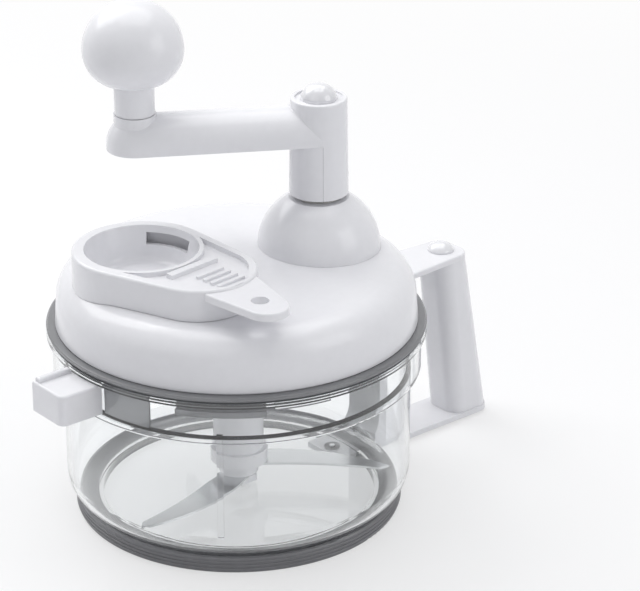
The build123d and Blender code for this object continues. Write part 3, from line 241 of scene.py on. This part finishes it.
def handling_group():
    """Use: a slightly duller colour in small soft specks."""
    tree, start, end = group_tree(
        "Handling specks",
        [("Colour", "NodeSocketColor", (1, 1, 1, 1)),
         ("Worn colour", "NodeSocketColor", (1, 1, 1, 1)),
         ("Speck size", "NodeSocketFloat", 220.0), ("Amount", "NodeSocketFloat", 0.5)],
        [("Colour", "NodeSocketColor")])
    place = add(tree, "ShaderNodeTexCoord")
    speck = add(tree, "ShaderNodeTexNoise", {"Detail": 4.0, "Roughness": 0.6})
    mask = add(tree, "ShaderNodeMapRange", {"From Min": 0.25, "From Max": 0.75},
               interpolation_type="SMOOTHSTEP")
    amount = add(tree, "ShaderNodeMath", operation="MULTIPLY")
    mix = add(tree, "ShaderNodeMix", data_type="RGBA")
    link = tree.links.new
    link(place.outputs["Object"], speck.inputs["Vector"])
    link(start.outputs["Speck size"], speck.inputs["Scale"])
    link(speck.outputs["Fac"], mask.inputs["Value"])
    link(mask.outputs["Result"], amount.inputs[0])
    link(start.outputs["Amount"], amount.inputs[1])
    link(amount.outputs[0], mix.inputs["Factor"])
    link(start.outputs["Colour"], mix.inputs["A"])
    link(start.outputs["Worn colour"], mix.inputs["B"])
    link(mix.outputs["Result"], end.inputs["Colour"])
    return tree


def brushed_group():
    """Ground steel: long fine scratches along one direction, as height and gloss."""
    tree, start, end = group_tree(
        "Ground lines",
        [("Line size", "NodeSocketFloat", 700.0), ("Stretch", "NodeSocketVector", (0.04, 1.0, 1.0)),
         ("Roughness", "NodeSocketFloat", 0.22), ("Spread", "NodeSocketFloat", 0.12)],
        [("Height", "NodeSocketFloat"), ("Roughness", "NodeSocketFloat")])
    place = add(tree, "ShaderNodeTexCoord")
    stretch = add(tree, "ShaderNodeVectorMath", operation="MULTIPLY")
    lines = add(tree, "ShaderNodeTexNoise", {"Detail": 3.0})
    centred = add(tree, "ShaderNodeMath", {1: 0.5}, operation="SUBTRACT")
    gloss = add(tree, "ShaderNodeMath", operation="MULTIPLY_ADD")
    link = tree.links.new
    link(place.outputs["Object"], stretch.inputs[0])
    link(start.outputs["Stretch"], stretch.inputs[1])
    link(stretch.outputs["Vector"], lines.inputs["Vector"])
    link(start.outputs["Line size"], lines.inputs["Scale"])
    link(lines.outputs["Fac"], end.inputs["Height"])
    link(lines.outputs["Fac"], centred.inputs[0])
    link(centred.outputs[0], gloss.inputs[0])
    link(start.outputs["Spread"], gloss.inputs[1])
    link(start.outputs["Roughness"], gloss.inputs[2])
    link(gloss.outputs[0], end.inputs["Roughness"])
    return tree


def new_material(name):
    """Empty material with its Principled shader and output."""
    material = bpy.data.materials.new(name)
    material.use_nodes = True
    tree = material.node_tree
    tree.nodes.clear()
    shader = tree.nodes.new("ShaderNodeBsdfPrincipled")
    out = tree.nodes.new("ShaderNodeOutputMaterial")
    tree.links.new(shader.outputs["BSDF"], out.inputs["Surface"])
    return material, tree, shader


def bump_from(tree, socket, shader, depth, strength):
    """Bump node of a depth in metres between a height and the shader's normal."""
    bump = add(tree, "ShaderNodeBump", {"Strength": strength, "Distance": depth})
    tree.links.new(socket, bump.inputs["Height"])
    tree.links.new(bump.outputs["Normal"], shader.inputs["Normal"])


def plastic(name, groups, colour, worn, skin_values, amount=0.35):
    """Opaque moulded plastic or rubber with handling specks."""
    material, tree, shader = new_material(name)
    roughness, spread, depth = skin_values
    skin = place_group(tree, groups["skin"], {"Roughness": roughness, "Spread": spread})
    marks = place_group(tree, groups["marks"], {"Colour": (*colour, 1), "Worn colour": (*worn, 1),
                                                "Amount": amount})
    tree.links.new(marks.outputs["Colour"], shader.inputs["Base Color"])
    tree.links.new(skin.outputs["Roughness"], shader.inputs["Roughness"])
    bump_from(tree, skin.outputs["Height"], shader, depth, PLASTIC_BUMP)
    return material, shader


def scaled(colour, factor):
    """A colour made darker or lighter."""
    return tuple(min(1.0, channel * factor) for channel in colour)


def pearl_plastic(groups, colours):
    """Glossy button, slightly see-through under a clear coat."""
    material, shader = plastic("pearl cap", groups, scaled(colours.white, 1.04), colours.white,
                               PEARL_SKIN)
    shader.inputs["Coat Weight"].default_value = 1.0
    shader.inputs["Coat Roughness"].default_value = 0.03
    shader.inputs["Transmission Weight"].default_value = 0.1
    return material


def white_plastic(groups, colours):
    """Glossy white moulding with a little depth under the surface."""
    material, shader = plastic("white plastic", groups, colours.white, scaled(colours.white, 0.97),
                               WHITE_SKIN, amount=0.6)
    shader.inputs["IOR"].default_value = 1.49
    shader.inputs["Subsurface Weight"].default_value = 0.08
    shader.inputs["Subsurface Radius"].default_value = (1.0, 1.0, 1.0)
    shader.inputs["Subsurface Scale"].default_value = 2.0 * MM
    return material


def pass_light(tree, shader, share):
    """Let a share of the lamps' light straight through, for a pale shadow."""
    path = add(tree, "ShaderNodeLightPath")
    cover = add(tree, "ShaderNodeMath", {1: -share, 2: 1.0}, operation="MULTIPLY_ADD")
    tree.links.new(path.outputs["Is Shadow Ray"], cover.inputs[0])
    tree.links.new(cover.outputs[0], shader.inputs["Alpha"])


def see_through(name, groups, tint, skin_values, light_share, clearness=1.0):
    """Clear or smoke moulding with faint flow waves."""
    material, tree, shader = new_material(name)
    roughness, spread, depth = skin_values
    skin = place_group(tree, groups["skin"], {"Roughness": roughness, "Spread": spread,
                                              "Wave size": 22.0, "Grain share": 0.02})
    shader.inputs["Base Color"].default_value = (*tint, 1)
    shader.inputs["Transmission Weight"].default_value = clearness
    shader.inputs["IOR"].default_value = 1.46
    tree.links.new(skin.outputs["Roughness"], shader.inputs["Roughness"])
    bump_from(tree, skin.outputs["Height"], shader, depth, CLEAR_BUMP)
    pass_light(tree, shader, light_share)
    return material


def ground_steel(groups, colours):
    """Ground and polished steel."""
    material, tree, shader = new_material("ground steel")
    lines = place_group(tree, groups["lines"], {})
    shader.inputs["Base Color"].default_value = (*colours.steel, 1)
    shader.inputs["Metallic"].default_value = 1.0
    tree.links.new(lines.outputs["Roughness"], shader.inputs["Roughness"])
    bump_from(tree, lines.outputs["Height"], shader, STEEL_DEPTH, STEEL_BUMP)
    return material


class CHOPPER_OT_finishes(bpy.types.Operator):
    """Give every piece of the frame its finish"""
    bl_idname = "chopper.finishes"
    bl_label = "Finishes"

    def execute(self, context):
        colours = context.scene.chopper_colours
        groups = {"skin": moulded_skin_group(), "marks": handling_group(), "lines": brushed_group()}
        foot, seal, gear = colours.foot, colours.seal, colours.gear
        finishes = (
            (WHITE, white_plastic(groups, colours)),
            (CLEAR, see_through("clear plastic", groups, colours.clear, CLEAR_SKIN, CLEAR_LIGHT)),
            (SMOKE, see_through("smoke plastic", groups, colours.smoke, SMOKE_SKIN, SMOKE_LIGHT,
                                SMOKE_CLEARNESS)),
            (FOOT, plastic("base ring", groups, foot, scaled(foot, 1.3), FOOT_SKIN)[0]),
            (SEAL, plastic("seal rubber", groups, seal, scaled(seal, 1.4), SEAL_SKIN)[0]),
            (GEAR, plastic("gear plastic", groups, gear, scaled(gear, 0.9), GEAR_SKIN)[0]),
            (PEARL, pearl_plastic(groups, colours)),
            (STEEL, ground_steel(groups, colours)),
        )
        for names, material in finishes:
            for name in names:
                data = NODES[name].data
                data.materials.clear()
                data.materials.append(material)
        return {"FINISHED"}


# ---------------------------------------------------------------- moulded beads

def bead_points(radius, height, bead, gap):
    """Round bead carried round a circle.

    Point = ((r + b cos v) cos u, (r + b cos v) sin u, z + b sin v), with u round the object from
    one side of a gap at +X to the other and v round the bead of radius b; r and z place the
    bead's middle. With no gap the last ring of points would be the first, so it is left out.
    """
    around = np.linspace(gap, 2 * math.pi - gap, BEAD_STEPS, endpoint=gap > 0)[:, None]
    section = np.linspace(0, 2 * math.pi, BEAD_SIDES, endpoint=False)[None, :]
    out = radius + bead * np.cos(section)
    grid = np.stack([out * np.cos(around), out * np.sin(around),
                     np.broadcast_to(height + bead * np.sin(section), (BEAD_STEPS, BEAD_SIDES))],
                    axis=-1)
    return grid.reshape(-1, 3)


def bead_faces(closed):
    """Quads round the bead's rings of points: joined end to start, or a flat cap on each end."""
    rings = np.arange(BEAD_STEPS if closed else BEAD_STEPS - 1)[:, None]
    near, far = rings * BEAD_SIDES, (rings + 1) % BEAD_STEPS * BEAD_SIDES
    here = np.arange(BEAD_SIDES)[None, :]
    after = (here + 1) % BEAD_SIDES
    walls = np.stack([near + here, far + here, far + after, near + after], axis=-1)
    walls = walls.reshape(-1, 4).tolist()
    if closed:
        return walls
    first = list(range(BEAD_SIDES))
    last = [corner + (BEAD_STEPS - 1) * BEAD_SIDES for corner in reversed(first)]
    return walls + [first, last]


def add_bead(name, material, radius, height, bead, gap, body):
    """One bead of a ring, on its body."""
    points = bead_points(radius, height, bead, gap)
    piece = mesh_object(name, points, bead_faces(gap == 0), material)
    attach(piece, body)


class CHOPPER_OT_lock_bead(bpy.types.Operator):
    """Run a fine bead round the lock ring's outer edge"""
    bl_idname = "chopper.lock_bead"
    bl_label = "Lock ring bead"

    def execute(self, context):
        rings = context.scene.chopper_rings
        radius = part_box("lock_ring")[1][0]
        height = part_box("lid_shell")[0][2] - LOCK_BEAD_DROP
        add_bead("lock_ring_bead", bpy.data.materials["smoke plastic"], radius, height,
                 rings.lock_bead, 0.0, "lid")
        return {"FINISHED"}


class CHOPPER_OT_foot_ribs(bpy.types.Operator):
    """Run fine ribs round the base ring, clear of the handle's tongue"""
    bl_idname = "chopper.foot_ribs"
    bl_label = "Base ring ribs"

    def execute(self, context):
        rings = context.scene.chopper_rings
        low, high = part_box("base_ring")
        radius = -low[0]
        middle = (low[2] + high[2]) / 2
        for number in range(rings.foot_count):
            height = middle + (number - (rings.foot_count - 1) / 2) * rings.foot_pitch
            add_bead(f"base_ring_rib_{number + 1}", bpy.data.materials["base ring"], radius, height,
                     rings.foot_bead, rings.tongue_gap, "bowl_body")
        return {"FINISHED"}


# ---------------------------------------------------------------- stage

def grid_faces(rows, columns):
    """Quads of a grid of points, row by row."""
    corner = (np.arange(rows - 1)[:, None] * columns + np.arange(columns - 1)[None, :]).ravel()
    return np.stack([corner, corner + 1, corner + columns + 1, corner + columns], axis=1).tolist()


def mesh_object(name, points, faces, material):
    """Smooth mesh from an array of points in metres and a list of faces."""
    mesh = bpy.data.meshes.new(name)
    mesh.from_pydata(points.tolist(), [], faces)
    mesh.polygons.foreach_set("use_smooth", np.full(len(faces), True))
    mesh.materials.append(material)
    mesh.update()
    piece = bpy.data.objects.new(name, mesh)
    bpy.context.scene.collection.objects.link(piece)
    return piece


def sweep_points(back, width, radius, height, steps=24):
    """Floor that bends up into a wall: straight, a quarter circle, straight, carried across."""
    turn = np.linspace(0, math.pi / 2, steps)
    along = np.concatenate([[-back], back - radius + radius * np.sin(turn), [back]])
    up = np.concatenate([[0], radius - radius * np.cos(turn), [height]])
    across = np.linspace(-width, width, 3)
    grid = np.zeros((len(along), len(across), 3))
    grid[..., 0] = across[None, :]
    grid[..., 1] = along[:, None]
    grid[..., 2] = up[:, None]
    return grid.reshape(-1, 3), grid_faces(len(along), len(across))


def seen_directly(tree):
    """1 for what is seen straight, mirrored or through glass; 0 for light on the object."""
    path = add(tree, "ShaderNodeLightPath")
    seen = add(tree, "ShaderNodeMath", operation="MAXIMUM")
    also = add(tree, "ShaderNodeMath", operation="MAXIMUM")
    tree.links.new(path.outputs["Is Camera Ray"], seen.inputs[0])
    tree.links.new(path.outputs["Is Glossy Ray"], seen.inputs[1])
    tree.links.new(seen.outputs[0], also.inputs[0])
    tree.links.new(path.outputs["Is Transmission Ray"], also.inputs[1])
    return also.outputs[0]


def stage_material(studio):
    """Matt floor, paled towards white where it is seen, with the shadow kept near the object."""
    material, tree, shader = new_material("stage")
    speck = add(tree, "ShaderNodeTexNoise", {"Scale": 3.0, "Detail": 2.0})
    place = add(tree, "ShaderNodeTexCoord")
    ramp = add(tree, "ShaderNodeMapRange", {"To Min": 0.985, "To Max": 1.0})
    tone = add(tree, "ShaderNodeVectorMath", {0: studio.floor[:]}, operation="SCALE")
    link = tree.links.new
    link(place.outputs["Object"], speck.inputs["Vector"])
    link(speck.outputs["Fac"], ramp.inputs["Value"])
    link(ramp.outputs["Result"], tone.inputs["Scale"])
    link(tone.outputs["Vector"], shader.inputs["Base Color"])
    shader.inputs["Roughness"].default_value = 0.6
    shader.inputs["Specular IOR Level"].default_value = 0.2
    white = add(tree, "ShaderNodeEmission", {"Color": (1, 1, 1, 1), "Strength": 1.0})
    far = add(tree, "ShaderNodeVectorMath", operation="LENGTH")
    wash = add(tree, "ShaderNodeMapRange", {"From Min": SHADOW_REACH, "From Max": WHITE_REACH,
                                            "To Min": studio.wash, "To Max": 1.0},
               interpolation_type="SMOOTHSTEP")
    share = add(tree, "ShaderNodeMath", operation="MULTIPLY")
    mix = add(tree, "ShaderNodeMixShader")
    link(place.outputs["Object"], far.inputs[0])
    link(far.outputs["Value"], wash.inputs["Value"])
    link(wash.outputs["Result"], share.inputs[1])
    link(seen_directly(tree), share.inputs[0])
    link(share.outputs[0], mix.inputs["Fac"])
    link(shader.outputs["BSDF"], mix.inputs[1])
    link(white.outputs[0], mix.inputs[2])
    link(mix.outputs[0], tree.nodes["Material Output"].inputs["Surface"])
    return material


def area_lamp(name, place, aim, size, power):
    """Soft rectangular lamp that looks at a point."""
    data = bpy.data.lights.new(name, "AREA")
    data.shape = "RECTANGLE"
    data.size, data.size_y = size
    data.energy = power
    lamp = bpy.data.objects.new(name, data)
    lamp.location = place
    lamp.rotation_euler = (Vector(aim) - Vector(place)).to_track_quat("-Z", "Y").to_euler()
    bpy.context.scene.collection.objects.link(lamp)


def studio_world(studio):
    """White to the camera and through glass; a plain sky for the rest."""
    world = bpy.data.worlds.new("studio")
    world.use_nodes = True
    tree = world.node_tree
    tree.nodes.clear()
    sky = add(tree, "ShaderNodeBackground", {"Color": (0.96, 0.97, 1.0, 1), "Strength": studio.sky})
    white = add(tree, "ShaderNodeBackground", {"Color": (1, 1, 1, 1), "Strength": 1.0})
    mix = add(tree, "ShaderNodeMixShader")
    out = add(tree, "ShaderNodeOutputWorld")
    link = tree.links.new
    link(seen_directly(tree), mix.inputs["Fac"])
    link(sky.outputs[0], mix.inputs[1])
    link(white.outputs[0], mix.inputs[2])
    link(mix.outputs[0], out.inputs["Surface"])
    bpy.context.scene.world = world


class CHOPPER_OT_stage(bpy.types.Operator):
    """Lay the pale floor, hang the lamps and set the camera"""
    bl_idname = "chopper.stage"
    bl_label = "Stage"

    def execute(self, context):
        studio = context.scene.chopper_studio
        turn = Matrix.Rotation(studio.azimuth, 3, "Z")
        aim = Vector(studio.aim)

        points, faces = sweep_points(**BACKDROP)
        points = points @ np.array(turn).T
        mesh_object("studio_floor", points, faces, stage_material(studio))

        back = turn @ Vector((0, -math.cos(studio.elevation), math.sin(studio.elevation)))
        data = bpy.data.cameras.new("camera")
        data.lens = studio.lens
        data.sensor_width = SENSOR
        camera = bpy.data.objects.new("camera", data)
        camera.location = aim + back * studio.distance
        camera.rotation_euler = (-back).to_track_quat("-Z", "Y").to_euler()
        context.scene.collection.objects.link(camera)
        context.scene.camera = camera

        powers = (studio.key_power, studio.top_power, studio.fill_power, studio.side_power)
        for (name, place, size), power in zip(LAMPS, powers):
            area_lamp(name, turn @ Vector(place) + aim, aim, size, power)
        studio_world(studio)
        context.scene.view_settings.view_transform = "Standard"
        return {"FINISHED"}


# ---------------------------------------------------------------- add-on

class CHOPPER_PT_panel(bpy.types.Panel):
    """Buttons and settings in the sidebar."""
    bl_label = "Crank food chopper"
    bl_idname = "CHOPPER_PT_panel"
    bl_space_type = "VIEW_3D"
    bl_region_type = "UI"
    bl_category = "Chopper"

    def draw(self, context):
        for settings in (context.scene.chopper_colours, context.scene.chopper_rings,
                         context.scene.chopper_studio):
            for label in settings.bl_rna.properties.keys():
                if label not in {"rna_type", "name"}:
                    self.layout.prop(settings, label)
        for operator in OPERATORS:
            self.layout.operator(operator.bl_idname)


OPERATORS = (CHOPPER_OT_finishes, CHOPPER_OT_lock_bead, CHOPPER_OT_foot_ribs, CHOPPER_OT_stage)
CLASSES = (ChopperColours, ChopperRings, ChopperStudio, *OPERATORS, CHOPPER_PT_panel)


def register():
    """Make Blender know the classes and give the scene its settings."""
    for item in CLASSES:
        bpy.utils.register_class(item)
    bpy.types.Scene.chopper_colours = bpy.props.PointerProperty(type=ChopperColours)
    bpy.types.Scene.chopper_rings = bpy.props.PointerProperty(type=ChopperRings)
    bpy.types.Scene.chopper_studio = bpy.props.PointerProperty(type=ChopperStudio)


def unregister():
    """Take the settings and the classes away again."""
    del bpy.types.Scene.chopper_studio
    del bpy.types.Scene.chopper_rings
    del bpy.types.Scene.chopper_colours
    for item in reversed(CLASSES):
        bpy.utils.unregister_class(item)


def main():
    """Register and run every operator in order."""
    register()
    bpy.ops.chopper.finishes()
    bpy.ops.chopper.lock_bead()
    bpy.ops.chopper.foot_ribs()
    bpy.ops.chopper.stage()


if __name__ == "__main__":
    main()
